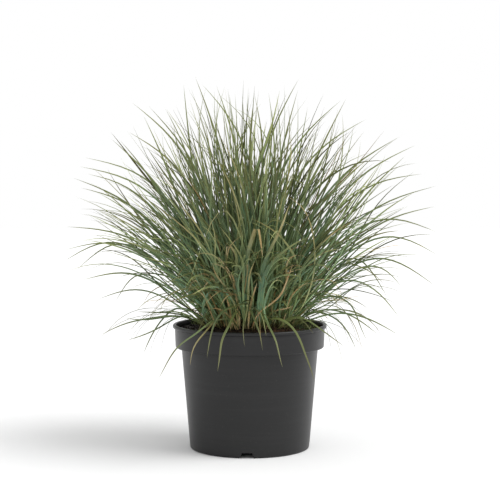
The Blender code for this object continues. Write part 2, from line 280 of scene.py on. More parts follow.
FRONT_LEAVES = """
# Broad blue green leaves in the middle
4.6 0 0 75, -4 -40, -5 188 -44, -4 209 -46, -3 236 -50, 2 257 -52, 9 273 -54, 13 257 -57,
16 235 -59
4.4 5 0 55, 8 -46, 11 178 -50, 15 208 -52, 18 226 -53, 24 242 -54, 38 270 -58, 49 302 -62
4.2 5 0 5, 12 -44, 14 180 -52, 17 209 -55, 27 227 -58, 43 243 -60, 61 255 -63, 74 261 -66
4 5 0 15, -6 -44, -9 172 -48, -13 190 -50, -17 211 -53, -17 239 -56, -23 249 -58, -30 253 -60
2.9 70 0 20, -6 -42, -8 205 -54, -9 230 -58, -21 252 -62, -38 275 -66
3.2 0 0 0, 22 -40, 34 181 -50, 49 206 -58, 65 218 -64
3 10 0 0, -50 -24, -58 172 -34, -52 189 -42, -36 207 -52, -14 221 -60
3.2 5 0 10, -30 -34, -38 203 -46, -44 213 -50, -54 219 -54, -64 221 -58, -80 219 -62
2.2 10 0 20, 14 -42, 14 200 -52, 12 213 -56, 7 217 -58, -4 212 -62, -18 208 -66
2.2 50 0 10, 42 -34, 44 163 -38, 43 175 -41, 43 188 -44
# Pale and tan leaves
2.6 90 0 35, 44 -20, 62 215 -30, 50 245 -38, 31 267 -44, 0 284 -52
2.4 80 0 25, 18 -24, 28 240 -34, 34 280 -40, 42 312 -46, 51 331 -50
2.6 70 0 60, -22 -20, -62 253 -40, -97 285 -52, -116 299 -58
2 60 0 40, -5 -15, -12 262 -30, -34 293 -44, -48 277 -50, -57 248 -56
2.6 45 0 100, -4 -46, -9 168 -50, -14 185 -54, -25 197 -58, -33 195 -61, -43 189 -63,
-52 181 -65, -59 170 -67
1.8 100 80 100, -40 -25, -58 193 -34, -69 206 -38, -73 200 -40, -73 182 -42
2.2 100 60 100, -30 -35, -38 203 -42, -43 210 -45, -50 206 -48, -59 192 -50
2.4 90 20 50, -8 -46, -4 168 -49, -2 188 -52, -1 208 -55, 2 221 -57, 7 232 -59
2.2 80 0 50, -20 -38, -30 215 -48, -38 232 -54, -51 240 -58, -66 239 -62, -86 226 -68
2.2 80 0 25, -28 -34, -40 215 -46, -43 240 -52, -43 262 -56, -50 288 -60
2.2 90 30 70, -14 -44, -24 190 -52, -36 206 -58, -43 217 -62, -46 228 -64
2.4 30 0 95, -14 -38, -17 226 -46, -22 246 -52, -27 250 -54, -29 240 -56, -30 231 -57
1.7 100 60 100, -32 -22, -27 241 -40, -22 252 -46, -9 263 -52
2 100 90 100, -12 -42, -22 213 -52, -30 225 -56, -40 237 -60
1.9 100 90 100, -16 -42, -26 215 -54, -36 225 -58, -49 228 -62
2 100 80 100, -20 -44, -23 160 -47, -26 176 -50, -30 190 -53
1.9 100 60 100, -16 -46, -24 160 -54, -33 168 -58, -43 172 -62, -55 168 -66
1.8 80 0 40, 44 -34, 50 196 -40, 43 212 -44, 28 222 -48
2.1 100 90 100, 2 -44, 7 159 -50, 24 176 -60, 34 184 -63, 40 192 -65, 45 204 -67, 53 227 -70
2.2 100 50 100, 40 -28, 45 215 -40, 54 237 -46, 62 238 -50, 74 232 -54
2 100 70 100, 40 -34, 49 182 -44, 63 199 -52, 73 203 -56, 84 199 -60
1.6 60 0 100, -36 -34, -50 176 -52, -55 184 -56, -62 193 -60, -70 199 -62
2.4 100 80 100, 20 -42, 31 169 -50, 41 171 -54, 54 175 -58
2.6 100 60 90, -2 -44, 2 180 -50, 5 191 -52, 9 204 -54
1.6 90 20 70, 48 -16, 78 262 -24, 66 295 -28, 42 313 -34
1.8 80 0 50, 30 0, 48 340 0, 51 372 0, 47 395 0
2.6 80 0 90, 40 -20, 110 270 -40, 124 279 -44
2 70 0 40, -6 -10, -28 369 -20, -38 387 -24
2 70 0 50, -8 -25, -27 331 -40, -39 354 -46
2.4 50 0 35, -12 -20, -18 304 -30, -21 316 -32
2.2 80 0 60, -36 -20, -73 285 -35, -95 310 -42
"""
RIM_LEAVES = """
# Over the front of the rim, left to right
2.4 25 0 15, -36 -34, -47 156 -70, -65 142 -84, -88 125 -82, -110 90 -78, -114 83 -77
2.2 100 35 50, -34 -36, -45 154 -70, -55 143 -86, -68 126 -88, -74 100 -88
3 0 0 5, -6 -44, -22 174 -70, -37 164 -82, -46 146 -92, -49 134 -96, -53 110 -100
1.9 75 0 10, -38 -30, -49 170 -56, -57 158 -70, -65 141 -82
1.9 85 0 15, -40 -26, -56 164 -50, -66 157 -62, -74 149 -70
1.8 40 0 10, -12 -46, -24 158 -70, -40 157 -84, -58 146 -92
3.3 70 0 5, -4 -44, -15 168 -62, -26 150 -88, -34 133 -101, -37 114 -106, -40 93 -107
2 100 70 95, -14 -46, -20 160 -70, -22 153 -86, -25 143 -101
3 45 0 10, 4 -46, -1 181 -64, -6 162 -80, -8 144 -99, -6 123 -108
3.4 50 0 5, -4 -44, 0 170 -70, 6 157 -86, 12 141 -101, 16 119 -108
2.8 50 0 5, 12 -42, 15 165 -66, 22 153 -84, 33 129 -102, 39 104 -108, 41 98 -108
3 70 0 10, 14 -42, 17 185 -84, 21 197 -94, 25 188 -98, 28 168 -100, 29 149 -100
2.4 90 0 20, 22 -42, 29 167 -80, 35 162 -90, 43 151 -94, 49 147 -95
3.1 80 0 5, 18 -38, 29 160 -68, 45 155 -82, 60 137 -92, 68 117 -94, 78 89 -92, 80 82 -91
2.2 85 0 15, 32 -42, 55 161 -58, 68 154 -68, 79 140 -78
2.2 80 0 15, 34 -40, 60 161 -52, 75 155 -60, 92 143 -68, 118 124 -80
"""


# ---- shader helpers


def set_inputs(node, **values):
    """Constants for the node's inputs of these names."""
    for key, value in values.items():
        node.inputs[key].default_value = value


def given(item, **settings):
    """The item with these properties set."""
    for key, value in settings.items():
        setattr(item, key, value)
    return item


class Shader:
    """Short names for building a node tree."""

    def __init__(self, name):
        self.material = bpy.data.materials.new(name)
        self.material.use_nodes = True
        self.tree = self.material.node_tree
        self.bsdf = self.tree.nodes["Principled BSDF"]
        self.place = self.node("ShaderNodeTexCoord").outputs["Object"]

    def node(self, kind, *values, **settings):
        """A new node with these settings, and these values for its first inputs."""
        made = given(self.tree.nodes.new(kind), **settings)
        for target, value in zip(made.inputs, values):
            self.feed(target, value)
        return made

    def link(self, source, target):
        self.tree.links.new(source, target)

    def feed(self, target, value):
        if isinstance(value, bpy.types.NodeSocket):
            self.link(value, target)
        elif target.type == "RGBA":
            target.default_value = (*value, 1.0)
        else:
            target.default_value = value

    def math(self, operation, a, b=0.0):
        return self.node("ShaderNodeMath", a, b, operation=operation).outputs[0]

    def times(self, a, b):
        return self.math("MULTIPLY", a, b)

    def mix(self, share, a, b, blend="MIX"):
        made = self.node("ShaderNodeMix", data_type="RGBA", blend_type=blend)
        self.feed(made.inputs[0], share)
        self.feed(made.inputs[6], a)
        self.feed(made.inputs[7], b)
        return made.outputs[2]

    def over(self, colour, other, share, most):
        """The colour with another laid over it, as strongly as most where share is one."""
        return self.mix(self.times(share, most), colour, other)

    def ramp(self, value, low, high, out_low=0.0, out_high=1.0):
        """Smooth step of a value from low to high."""
        values = (value, low, high, out_low, out_high)
        return self.node("ShaderNodeMapRange", *values, interpolation_type="SMOOTHSTEP").outputs[0]

    def attribute(self, name):
        return self.node("ShaderNodeAttribute", attribute_name=name).outputs["Fac"]

    def noise(self, scale, detail=3.0, roughness=0.55, vector=None):
        made = self.node("ShaderNodeTexNoise", self.place if vector is None else vector)
        set_inputs(made, Scale=scale, Detail=detail, Roughness=roughness)
        return made.outputs["Fac"]

    def stretched(self, scale):
        """The object's coordinates, scaled along each axis."""
        return self.node("ShaderNodeVectorMath", self.place, scale, operation="MULTIPLY").outputs[0]

    def bump(self, height, distance, strength):
        made = self.node("ShaderNodeBump")
        self.link(height, made.inputs["Height"])
        set_inputs(made, Distance=distance, Strength=strength)
        self.link(made.outputs[0], self.bsdf.inputs["Normal"])

    def finished(self, colour, roughness, specular):
        self.link(colour, self.bsdf.inputs["Base Color"])
        self.feed(self.bsdf.inputs["Roughness"], roughness)
        self.bsdf.inputs["Specular IOR Level"].default_value = specular
        return self.material


def blade_material(name, fresh, mellow, tip):
    """Leaf with a pale midrib, fine ribs along it, a papery base, a dry share, painted light low
    down and painted shade at its foot.
    """
    s = Shader(name)
    uv = s.node("ShaderNodeUVMap", uv_map="blade").outputs[0]
    across, along = s.node("ShaderNodeSeparateXYZ", uv).outputs[:2]
    tone, dry, shade = (s.attribute(look) for look in LOOKS)

    colour = s.mix(tone, fresh, mellow)
    colour = s.over(colour, mellow, s.ramp(s.noise(55.0, 2.0), 0.35, 0.68), 0.30)
    colour = s.over(colour, tip, s.ramp(along, 0.50, 0.95), 0.76)
    edge = s.math("ABSOLUTE", s.math("SUBTRACT", across, 0.5))
    colour = s.over(colour, tip, s.ramp(edge, 0.03, 0.11, 1.0, 0.0), 0.30)
    colour = s.over(colour, LEAF_MARGIN, s.ramp(edge, 0.40, 0.50), 0.35)
    papery = s.mix(s.noise(130.0, 2.0), *PAPERY_BASE)
    colour = s.over(colour, papery, s.ramp(along, 0.02, 0.17, 1.0, 0.0), 0.62)
    colour = s.mix(dry, colour, s.mix(s.ramp(s.noise(38.0), 0.35, 0.65), *STRAW))
    colour = s.over(colour, LEAF_SPOTS, s.ramp(s.noise(210.0, 4.0), 0.60, 0.70), 0.20)

    stretch = (s.times(across, 9.0), s.times(along, 2.5), s.times(tone, 40.0))
    fibres = s.noise(1.0, vector=s.node("ShaderNodeCombineXYZ", *stretch).outputs[0])
    darker = s.times(s.ramp(fibres, 0.30, 0.70, 0.66, 1.28), shade)
    # Painted light: paler towards the crown, standing in for light that reaches deep into the clump
    level = s.times(darker, s.ramp(along, 0.02, 0.60, 2.10, 1.00))
    # Painted shade: dark at the very foot, at the soil line
    level = s.times(level, s.ramp(along, 0.005, 0.065, 0.40, 1.00))
    # Near the crown dark and pale leaves differ more
    level = s.times(level, s.math("POWER", darker, s.ramp(along, 0.05, 0.50, 0.55, 0.00)))
    # Pale leaves are greyer than dark ones
    tints = (s.ramp(darker, 0.30, 1.55, *ends) for ends in LEAF_TINTS)
    tint = s.node("ShaderNodeCombineColor", *(s.times(level, share) for share in tints))
    colour = s.mix(1.0, colour, tint.outputs[0], "MULTIPLY")

    ribs = s.math("SINE", s.times(across, tau * LEAF_RIBS))
    s.bump(s.math("ADD", s.times(ribs, 0.5), fibres), 0.00008, 0.7)
    return s.finished(colour, s.ramp(fibres, 0.25, 0.75, 0.52, 0.38), 0.34)


def pot_material():
    """Matt moulded plastic: faint flow marks, dust and a fine grain."""
    s = Shader("charcoal_plastic")
    cloud = s.noise(14.0, 4.0)
    rings = s.noise(6.0, vector=s.stretched((1.2, 1.2, 34.0)))
    colour = s.mix(s.ramp(cloud, 0.3, 0.7), *CHARCOAL)
    colour = s.over(colour, FLOW_MARKS, s.ramp(rings, 0.45, 0.75), 0.35)
    colour = s.over(colour, DUST, s.ramp(s.noise(420.0, 2.0), 0.64, 0.74), 0.16)
    s.bump(s.math("ADD", s.times(s.noise(1500.0, 2.0), 0.35), rings), 0.00010, 0.5)
    return s.finished(colour, s.ramp(cloud, 0.3, 0.7, 0.36, 0.44), 0.35)


def soil_material(name, dark, light, scale):
    """Lumps and pale fibres, and painted shade that darkens it towards the left of the pot."""
    s = Shader(name)
    lumps = s.noise(scale, 5.0, 0.7)
    colour = s.mix(s.ramp(lumps, 0.35, 0.65), dark, light)
    fibre = s.noise(scale * 2.4, 2.0, vector=s.stretched((1.0, 3.0, 1.0)))
    colour = s.over(colour, MIX_FIBRE, s.ramp(fibre, 0.62, 0.72), 0.45)
    x = s.node("ShaderNodeSeparateXYZ", s.place).outputs[0]
    # Painted shade: darker towards the left of the pot, the side away from the key light
    colour = s.mix(s.ramp(x, -0.060, 0.030, 0.75, 0.0), colour, MIX_IN_PAINTED_SHADE)
    s.bump(lumps, 0.0006, 0.9)
    return s.finished(colour, s.ramp(lumps, 0.3, 0.7, 0.98, 0.80), 0.25)


def moss_material():
    s = Shader("moss_green")
    cloud = s.noise(90.0)
    colour = s.mix(s.ramp(cloud, 0.35, 0.65), *MOSS_GREENS)
    s.bump(s.noise(900.0, 2.0), 0.0002, 0.6)
    return s.finished(colour, s.ramp(cloud, 0.3, 0.7, 0.9, 0.7), 0.5)


def floor_material():
    s = Shader("pale_floor")
    return s.finished(s.mix(s.noise(3.0, 2.0), *FLOOR_GREYS), 0.9, 0.0)


# ---- blades


def smooth(value):
    value = np.clip(value, 0.0, 1.0)
    return value * value * (3.0 - 2.0 * value)


def length_of(vectors):
    return np.linalg.norm(vectors, axis=-1, keepdims=True)


def unit(vectors):
    return vectors / np.maximum(length_of(vectors), TINY)


def lean_lines(start, end, curl, wave=None, kink_at=None, kink=None):
    """Middle lines of blades that start at the origin, each with a chord of one.

    start, end, wave and kink are flat vectors: their length is the lean from the vertical in
    radians and their direction is where the blade leans to. curl sets how late it bends.
    """
    along = (np.arange(FINE_STEPS) + 0.5) / FINE_STEPS
    bend = along ** curl[:, None]
    lean = start[:, None, :] + (end - start)[:, None, :] * bend[:, :, None]
    if wave is not None:
        lean = lean + wave[:, None, :] * np.sin(tau * WAVES * along)[:, None]
        folded = smooth((along - kink_at[:, None]) / KINK_LENGTH)
        lean = lean + kink[:, None, :] * folded[:, :, None]
    angle = length_of(lean)
    steps = np.concatenate([lean / np.maximum(angle, TINY) * np.sin(angle), np.cos(angle)], axis=2)
    path = np.zeros((len(start), FINE_STEPS + 1, 3))
    path[:, 1:] = np.cumsum(steps, axis=1)
    return path / length_of(path[:, -1])[:, None]


def spline(points):
    """Natural cubic spline through a few points, as FINE_STEPS + 1 places."""
    points = np.array(points, dtype=float)
    gaps = length_of(np.diff(points, axis=0))[:, 0]
    knots = np.concatenate([[0.0], np.cumsum(gaps)])
    count = len(points)
    system, target = np.eye(count), np.zeros((count, 3))
    for i in range(1, count - 1):
        system[i, i - 1 : i + 2] = gaps[i - 1], 2.0 * (gaps[i - 1] + gaps[i]), gaps[i]
        slopes = np.diff(points[i - 1 : i + 2], axis=0) / gaps[i - 1 : i + 1, None]
        target[i] = 6.0 * (slopes[1] - slopes[0])
    bend = np.linalg.solve(system, target)
    places = np.linspace(0.0, knots[-1], FINE_STEPS + 1)
    part = np.clip(np.searchsorted(knots, places) - 1, 0, count - 2)
    gap = gaps[part][:, None]
    after = places[:, None] - knots[part][:, None]
    before = gap - after
    line = bend[part] * before**3 / (6.0 * gap) + bend[part + 1] * after**3 / (6.0 * gap)
    line += (points[part] / gap - bend[part] * gap / 6.0) * before
    line += (points[part + 1] / gap - bend[part + 1] * gap / 6.0) * after
    return line


def blade_profile(along):
    """Width of a blade along its length, as a share of its greatest width."""
    rise = 0.46 + 0.54 * smooth(along / 0.26)
    fall = 1.0 - np.clip((along - 0.30) / 0.70, 0.0, 1.0) ** 3.6
    return rise * fall


def section_axes(points, twist):
    """Width and upper-side directions at every point of every line."""
    tangent = unit(np.gradient(points, axis=1))
    whole = points[:, -1] - points[:, 0]
    side = unit(np.stack([-whole[:, 1], whole[:, 0], np.zeros(len(whole))], axis=1))[:, None, :]
    side = unit(side - tangent * np.sum(side * tangent, axis=2, keepdims=True))
    upper = np.cross(tangent, side)
    cosine, sine = np.cos(twist)[:, :, None], np.sin(twist)[:, :, None]
    return side * cosine + upper * sine, upper * cosine - side * sine


def fill(target, key, values, kind=np.float32):
    target.foreach_set(key, values.astype(kind).ravel())


class Blades:
    """Gathers blades and writes them as one mesh of thin folded leaves."""

    def __init__(self, steps=BLADE_STEPS):
        self.steps = steps
        self.parts = []

    def add(self, lines, width, twist_start, twist_turn, tone, dry, shade, fold=BLADE_FOLD):
        """width, twists, tone and shade per blade; dry as (start, end) shares per blade."""
        pick = np.round(np.linspace(0, FINE_STEPS, self.steps + 1)).astype(int)
        along = np.linspace(0.0, 1.0, self.steps + 1)
        widths = width[:, None] * blade_profile(along)
        twists = twist_start[:, None] + twist_turn[:, None] * along
        ageing = smooth((along - DRY_FROM) / (1.0 - DRY_FROM))
        dryness = dry[:, :1] + (dry[:, 1:] - dry[:, :1]) * ageing
        ones = np.ones(dryness.shape)
        looks = np.stack([tone[:, None] * ones, dryness, shade[:, None] * ones], axis=2)
        self.parts.append((lines[:, pick], widths, twists, np.full(len(width), fold), looks))

    def mesh(self, name):
        points, widths, twists, folds, looks = map(np.concatenate, zip(*self.parts))
        side, upper = section_axes(points, twists)
        blades, rings = len(points), self.steps
        half = widths[:, :, None] / 2
        opening = 1.0 - OPENING * np.linspace(0, 1, rings + 1)
        fold = (folds[:, None] * opening)[:, :, None]
        thick = half * BLADE_THICKNESS * 2.0 + LEAST_THICKNESS
        corners = [
            points - side * half + upper * half * fold,
            points - upper * thick / 2,
            points + side * half + upper * half * fold,
            points + upper * thick / 2,
        ]
        corners = np.stack(corners, axis=2)[:, :rings].reshape(blades, rings * 4, 3)
        vertices = np.concatenate([corners, points[:, -1:, :]], axis=1)
        looks = np.concatenate([np.repeat(looks[:, :rings], 4, axis=1), looks[:, -1:]], axis=1)

        # One blade's faces, with its coordinates on the leaf and on its strip of the bake
        faces, face_uv, face_strip = [], [], []
        across = (0.0, 0.5, 1.0, 0.5)
        for k, i in np.ndindex(rings, 4):
            j = (i + 1) % 4
            low, high = k / rings, (k + 1) / rings
            near, far = (i + 0.04) / 4, (i + 0.96) / 4
            face = [4 * k + i, 4 * k + j, 4 * k + 4 + j, 4 * k + 4 + i]
            uv = [(across[i], low), (across[j], low), (across[j], high), (across[i], high)]
            strip = [(near, low), (far, low), (far, high), (near, high)]
            if k == rings - 1:
                face[2:], uv[2:], strip[2:] = [4 * rings], [(0.5, 1.0)], [((near + far) / 2, high)]
            faces.append(face)
            face_uv += uv
            face_strip += strip
        faces.append((3, 2, 1, 0))
        face_uv += [(0.5, 0.0), (1.0, 0.0), (0.5, 0.0), (0.0, 0.0)]
        face_strip += [(0.2, -0.005), (0.8, -0.005), (0.8, -0.015), (0.2, -0.015)]

        # The same faces for every blade, each with a tile of its own in the bake
        per_blade = rings * 4 + 1
        loops = np.concatenate(faces) + per_blade * np.arange(blades)[:, None]
        totals = np.tile([len(face) for face in faces], blades)
        starts = np.cumsum(totals) - totals
        strip = np.array(face_strip)
        columns = max(1, ceil(sqrt(blades * BAKE_ASPECT)))
        row, column = np.divmod(np.arange(blades), columns)
        bake = np.empty((blades, len(strip), 2))
        bake[:, :, 0] = (column[:, None] + 0.06 + 0.88 * strip[:, 0]) / columns
        bake[:, :, 1] = (row[:, None] + 0.04 + 0.92 * strip[:, 1]) / ceil(blades / columns)

        mesh = bpy.data.meshes.new(name)
        mesh.vertices.add(blades * per_blade)
        fill(mesh.vertices, "co", vertices)
        mesh.loops.add(loops.size)
        fill(mesh.loops, "vertex_index", loops, np.int32)
        mesh.polygons.add(len(totals))
        fill(mesh.polygons, "loop_start", starts, np.int32)
        fill(mesh.polygons, "loop_total", totals, np.int32)
        mesh.update(calc_edges=True)
        fill(mesh.uv_layers.new(name="blade").data, "uv", np.tile(face_uv, (blades, 1)))
        fill(mesh.uv_layers.new(name="OFBake").data, "uv", bake)
        for index, look in enumerate(LOOKS):
            attribute = mesh.attributes.new(look, "FLOAT", "POINT")
            fill(attribute.data, "value", looks[:, :, index])
        mesh.validate()
        return shaded(mesh, 55.0)


def shaded(mesh, sharp_from):
    """The mesh shaded smooth, but for edges sharper than an angle in degrees."""
    mesh.shade_smooth()
    mesh.set_sharp_from_angle(angle=radians(sharp_from))
    return mesh


def mesh_of(form, name):
    """The form as a mesh with its faces outwards. The form is freed."""
    bmesh.ops.recalc_face_normals(form, faces=form.faces)
    mesh = bpy.data.meshes.new(name)
    form.to_mesh(mesh)
    form.free()
    return mesh


def join_rings(form, low, high):
    """Faces between two closed rings of as many vertices."""
    for i in range(len(low)):
        j = (i + 1) % len(low)
        form.faces.new((low[i], low[j], high[j], high[i]))


def add_object(name, data):
    made = bpy.data.objects.new(name, data)
    bpy.context.scene.collection.objects.link(made)
    return made


def add_piece(mesh, material, slot, *nodes):
    """One piece, named as its mesh, in place of the model's nodes."""
    piece = add_object(mesh.name, mesh)
    piece.data.materials.append(material)
    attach(piece, "root")
    if nodes:
        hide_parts(*nodes)


def flat_vector(length, angle):
    return np.stack([length * np.cos(angle), length * np.sin(angle)], axis=-1)


def limited(vectors, most):
    """The vectors, each no longer than most."""
    return vectors * np.minimum(1.0, most / np.maximum(length_of(vectors), TINY))


def eased(vectors, free, most):
    """The vectors, their length beyond free drawn in so that it nears but never passes most."""
    length = length_of(vectors)
    past = np.maximum(length - free, 0.0)
    drawn = free + (most - free) * (1.0 - np.exp(-past / (most - free)))
    return vectors * np.where(past > 0.0, drawn / np.maximum(length, TINY), 1.0)


def reach_of(lines):
    """How far from its root each blade may reach, by the lean of its chord."""
    chord = lines[:, -1]
    lean = np.arctan2(length_of(chord[:, :2])[:, 0], chord[:, 2])
    share = np.clip(lean / FULL_REACH_LEAN, 0.0, 1.15)
    return REACH_MIDDLE - REACH_LOSS * share**REACH_POWER


def within_spread(rng, roots, lines):
    """The lines at their roots, shortened where they pass a share of the clump's widest radius."""
    widest = SPREAD_RADIUS * rng.uniform(WIDEST_SHARE, 1.0, len(lines))
    radius = length_of((roots[:, None, :] + lines)[:, :, :2]).max(axis=1)[:, 0]
    own = length_of(roots[:, :2])[:, 0]
    share = np.where(radius > widest, (widest - own) / np.maximum(radius - own, 1e-6), 1.0)
    return roots[:, None, :] + lines * share[:, None, None]


def arc_places(lines):
    """Where lines, as the camera sees them, pass each arc of SPACED_AT about the crown.

    One row per line: its place along each arc in metres, or nan where it ends before the arc.
    """
    eye = np.array(EYE)
    seen = eye + (lines - eye) * (-eye[1] / (lines[:, :, 1:2] - eye[1]))
    across, up = seen[:, :, 0] - CROWN_SHIFT, seen[:, :, 2] - SOIL_TOP
    radius = np.hypot(across, up)
    rows = np.arange(len(lines))
    places = []
    for arc in SPACED_AT:
        past = radius >= arc
        first = past.argmax(axis=1)
        place = arc * np.arctan2(up[rows, first], across[rows, first])
        places.append(np.where(past.any(axis=1), place, np.nan))
    return np.stack(places, axis=1)


def most_apart(lines, taken):
    """Of each CHOICES lines in turn, the one that best fills a gap between those taken before."""
    places = arc_places(lines)
    kept = []
    for first in range(0, len(lines), CHOICES):
        gaps = np.abs(places[first : first + CHOICES, None] - np.array(taken)[None])
        nearest = np.nanmin(np.where(np.isnan(gaps), 1.0, gaps), axis=1)
        crowd = (gaps < SPACING_RANGE).sum(axis=1) + 1.0
        score = np.log(nearest * crowd + 1e-5)
        reached = ~np.isnan(places[first : first + CHOICES])
        score = np.where(reached, score, 0.0).sum(axis=1) / np.maximum(reached.sum(axis=1), 1)
        choice = first + int(score.argmax())
        taken.append(places[choice])
        kept.append(choice)
    return np.array(kept)


def turns(rng, degrees, size):
    """Random turns in radians, normal about zero, with a spread given in degrees."""
    return rng.normal(0.0, radians(degrees), size)


def in_cell(rng, cell, count):
    """Random places in a tuft's cell of the crown, as shares of its radius and angles."""
    inner, outer, azimuth, half_angle = cell
    share = np.sqrt(rng.uniform(inner**2, outer**2, count))
    return share, azimuth + half_angle * rng.uniform(-1.0, 1.0, count)


def crown_roots(share, angle):
    roots = np.full((len(share), 3), SOIL_TOP - ROOT_DEPTH)
    roots[:, :2] = flat_vector(CROWN_RADIUS * share, angle)
    return roots


def ring_tuft(blades, rng, cell, tillers, taken):
    """Leaves of one tuft: tillers spread over its cell of the crown, leaves fan out of each.

    Every leaf is drawn CHOICES times, and the drawing that fills a gap best is kept.
    """
    leaves = tillers * LEAVES_PER_TILLER
    count = leaves * CHOICES
    tiller = np.repeat(np.arange(tillers), LEAVES_PER_TILLER * CHOICES)
    share, angle = in_cell(rng, cell, tillers)
    sway = turns(rng, TILLER_SWAY, (tillers, 2))
    fan_angle = rng.uniform(0.0, pi, tillers)
    stray = rng.random(tillers) < STRAY_SHARE
    follow_crown = np.where(stray, rng.uniform(*STRAY_FOLLOW, tillers), 1.0)
    sway = sway * np.where(stray, STRAY_SWAY, 1.0)[:, None]
    share, angle, sway, fan_angle = (values[tiller] for values in (share, angle, sway, fan_angle))

    place = np.tile(np.repeat(np.linspace(-1.0, 1.0, LEAVES_PER_TILLER), CHOICES), tillers)
    fan = place * rng.uniform(*FAN, count)
    short = np.repeat(rng.random(leaves) < SHORT_SHARE, CHOICES)
    scatter = (np.where(short, SHORT_SCATTER, 1.0) * (1.85 - 1.05 * share))[:, None]
    roots = crown_roots(share, angle)
    roots[:, :2] += flat_vector(FAN_SPACING * place, fan_angle)
    roots[:, 0] += CROWN_SHIFT

    towards = share**SHARE_POWER * (1.0 + RIGHT_LEAN * np.cos(angle))
    own = flat_vector(START_LEAN * towards * follow_crown[tiller], angle)
    start = own + sway + flat_vector(fan, fan_angle)
    start = start + scatter**1.4 * turns(rng, START_SCATTER, (count, 2))
    start = eased(start, FREE_START, LARGEST_START)
    follow = rng.uniform(*FOLLOW, count)
    outward = rng.uniform(*OUTWARD, count)
    end = start * follow[:, None] + own * outward[:, None]
    end = limited(end + scatter * turns(rng, END_SCATTER, (count, 2)), LARGEST_END)
    curl = rng.uniform(*CURL, count)
    wave = turns(rng, WAVE, (count, 2))

    length = 0.97 + 0.03 * share - (0.42 - 0.14 * share) * np.repeat(rng.random(leaves), CHOICES)
    longest = np.repeat(rng.random(leaves) < LONGEST_SHARE, CHOICES)
    length = np.where(longest, rng.uniform(*LONGEST_LENGTH, count), length)
    length = np.where(short, np.repeat(rng.uniform(*SHORT_LENGTH, leaves), CHOICES), length)
    dead = rng.random(count) < DEAD_SHARE
    kinked = (rng.random(count) < KINKED_SHARE) | (dead & (rng.random(count) < DEAD_KINKED))
    kink_at = rng.uniform(0.45, 0.85, count)
    kink = flat_vector(rng.uniform(0.5, 1.5, count), rng.uniform(0.0, tau, count))
    lines = lean_lines(start, end, curl, wave, kink_at, kink * kinked[:, None])
    length = np.where(kinked, length * rng.uniform(0.5, 0.85, count), length)
    lines = within_spread(rng, roots, lines * (reach_of(lines) * length)[:, None, None])
    kept = most_apart(lines, taken)
    lines, length, share, dead = lines[kept], length[kept], share[kept], dead[kept]

    width = np.exp(rng.normal(0.0, 0.15, leaves)) * (0.72 + 0.28 * length)
    width = width * (INNER_WIDTH + (OUTER_WIDTH - INNER_WIDTH) * share)
    width = np.where(rng.random(leaves) < BROAD_SHARE, width * BROAD_WIDTH, width)
    width = np.where(dead, width * DEAD_WIDTH, width)
    twist_start = turns(rng, 55.0, leaves)
    twist_turn = turns(rng, 50.0, leaves)
    tone = np.clip(0.22 + 0.60 * rng.beta(1.3, 2.0, leaves) - 0.30 * (width - 0.8), 0.0, 1.0)
    dry = np.zeros((leaves, 2))
    dry[:, 1] = 0.25 * rng.random(leaves) ** 3
    dry[dead, 0] = rng.uniform(0.3, 0.8, dead.sum())
    dry[dead, 1] = rng.uniform(0.8, 1.0, dead.sum())
    shade = rng.uniform(0.27, 1.02, leaves) + 1.75 * rng.random(leaves) ** 3
    blades.add(lines, BLADE_WIDTH * width, twist_start, twist_turn, tone, dry, shade, NARROW_FOLD)


def curled_leaves(blades, rng, cell):
    """A few short thin leaves low in a tuft, bent far over, some of them dead."""
    count = CURLED_PER_TUFT
    share, angle = in_cell(rng, cell, count)
    towards = angle + rng.normal(0.0, 0.9, count)
    start = flat_vector(rng.uniform(0.1, 0.7, count), towards)
    end = flat_vector(rng.uniform(1.4, 3.0, count), towards + rng.normal(0.0, 0.5, count))
    lines = lean_lines(start, end, rng.uniform(1.0, 2.6, count))
    lines = lines * rng.uniform(*CURLED_CHORD, count)[:, None, None]
    lines = within_spread(rng, crown_roots(share, angle), lines)
    dry = rng.uniform(0.0, 1.0, (count, 2)) ** 0.7
    dry[:, 1] = np.maximum(dry[:, 0], dry[:, 1])
    dry[rng.random(count) < 0.60] *= 0.2
    width = rng.uniform(0.0011, 0.0024, count)
    twist, turn = turns(rng, 60.0, count), turns(rng, 80.0, count)
    tone, shade = rng.uniform(0.2, 1.0, count), rng.uniform(0.9, 1.3, count)
    blades.add(lines, width, twist, turn, tone, dry, shade)


def droop_lines(reach, azimuth, height, sway):
    """Middle lines of drooping blades: cubic curves over the rim, reach from 0 to 1."""
    along = np.linspace(0.0, 1.0, FINE_STEPS + 1)[None, :, None]
    short, wide = np.array(DROOP_SHORT)[:, None], np.array(DROOP_WIDE)[:, None]
    controls = short + (wide - short) * reach[:, None]
    controls[:, :, 1] += height * np.array(DROOP_LIFT)[:, None]
    a, b, c, d = controls[:, :, None]
    rest = 1.0 - along
    flat = a * rest**3 + 3 * b * rest**2 * along + 3 * c * rest * along**2 + d * along**3
    turn = azimuth[:, None] + sway[:, None] * along[:, :, 0] ** 2
    return np.concatenate([flat_vector(flat[:, :, 0], turn), flat[:, :, 1:]], axis=2)


def drooping_tuft(blades, rng, azimuth):
    """Leaves over the rim: the first reaches least, the second most, the rest lie between."""
    count = DROOP_LEAVES
    reach = np.concatenate([(0.0, 1.0), rng.uniform(0.05, 0.95, count - 2)])
    own = azimuth + DROOP_SPREAD * rng.uniform(-1.0, 1.0, count)
    height = rng.uniform(-0.002, 0.040, count)
    sway = turns(rng, 9.0, count)
    height[:2] = sway[:2] = 0.0
    lines = droop_lines(reach, own, height, sway)
    width = rng.uniform(0.0012, 0.0022, count)
    dry = np.zeros((count, 2))
    dry[:, 1] = rng.uniform(0.1, 0.6, count)
    twist, turn = turns(rng, 25.0, count), turns(rng, 40.0, count)
    tone, shade = rng.uniform(0.0, 0.8, count), rng.uniform(0.6, 1.0, count)
    blades.add(lines, width, twist, turn, tone, dry, shade)


def brought_forward(place):
    """A place of a front leaf, moved towards the viewer the higher it is, up to a height."""
    x, z, y = place
    return x, z, y - FRONT_LEAN * (min(z, FRONT_LEAN_TOP) - SOIL_TOP * 1000.0)


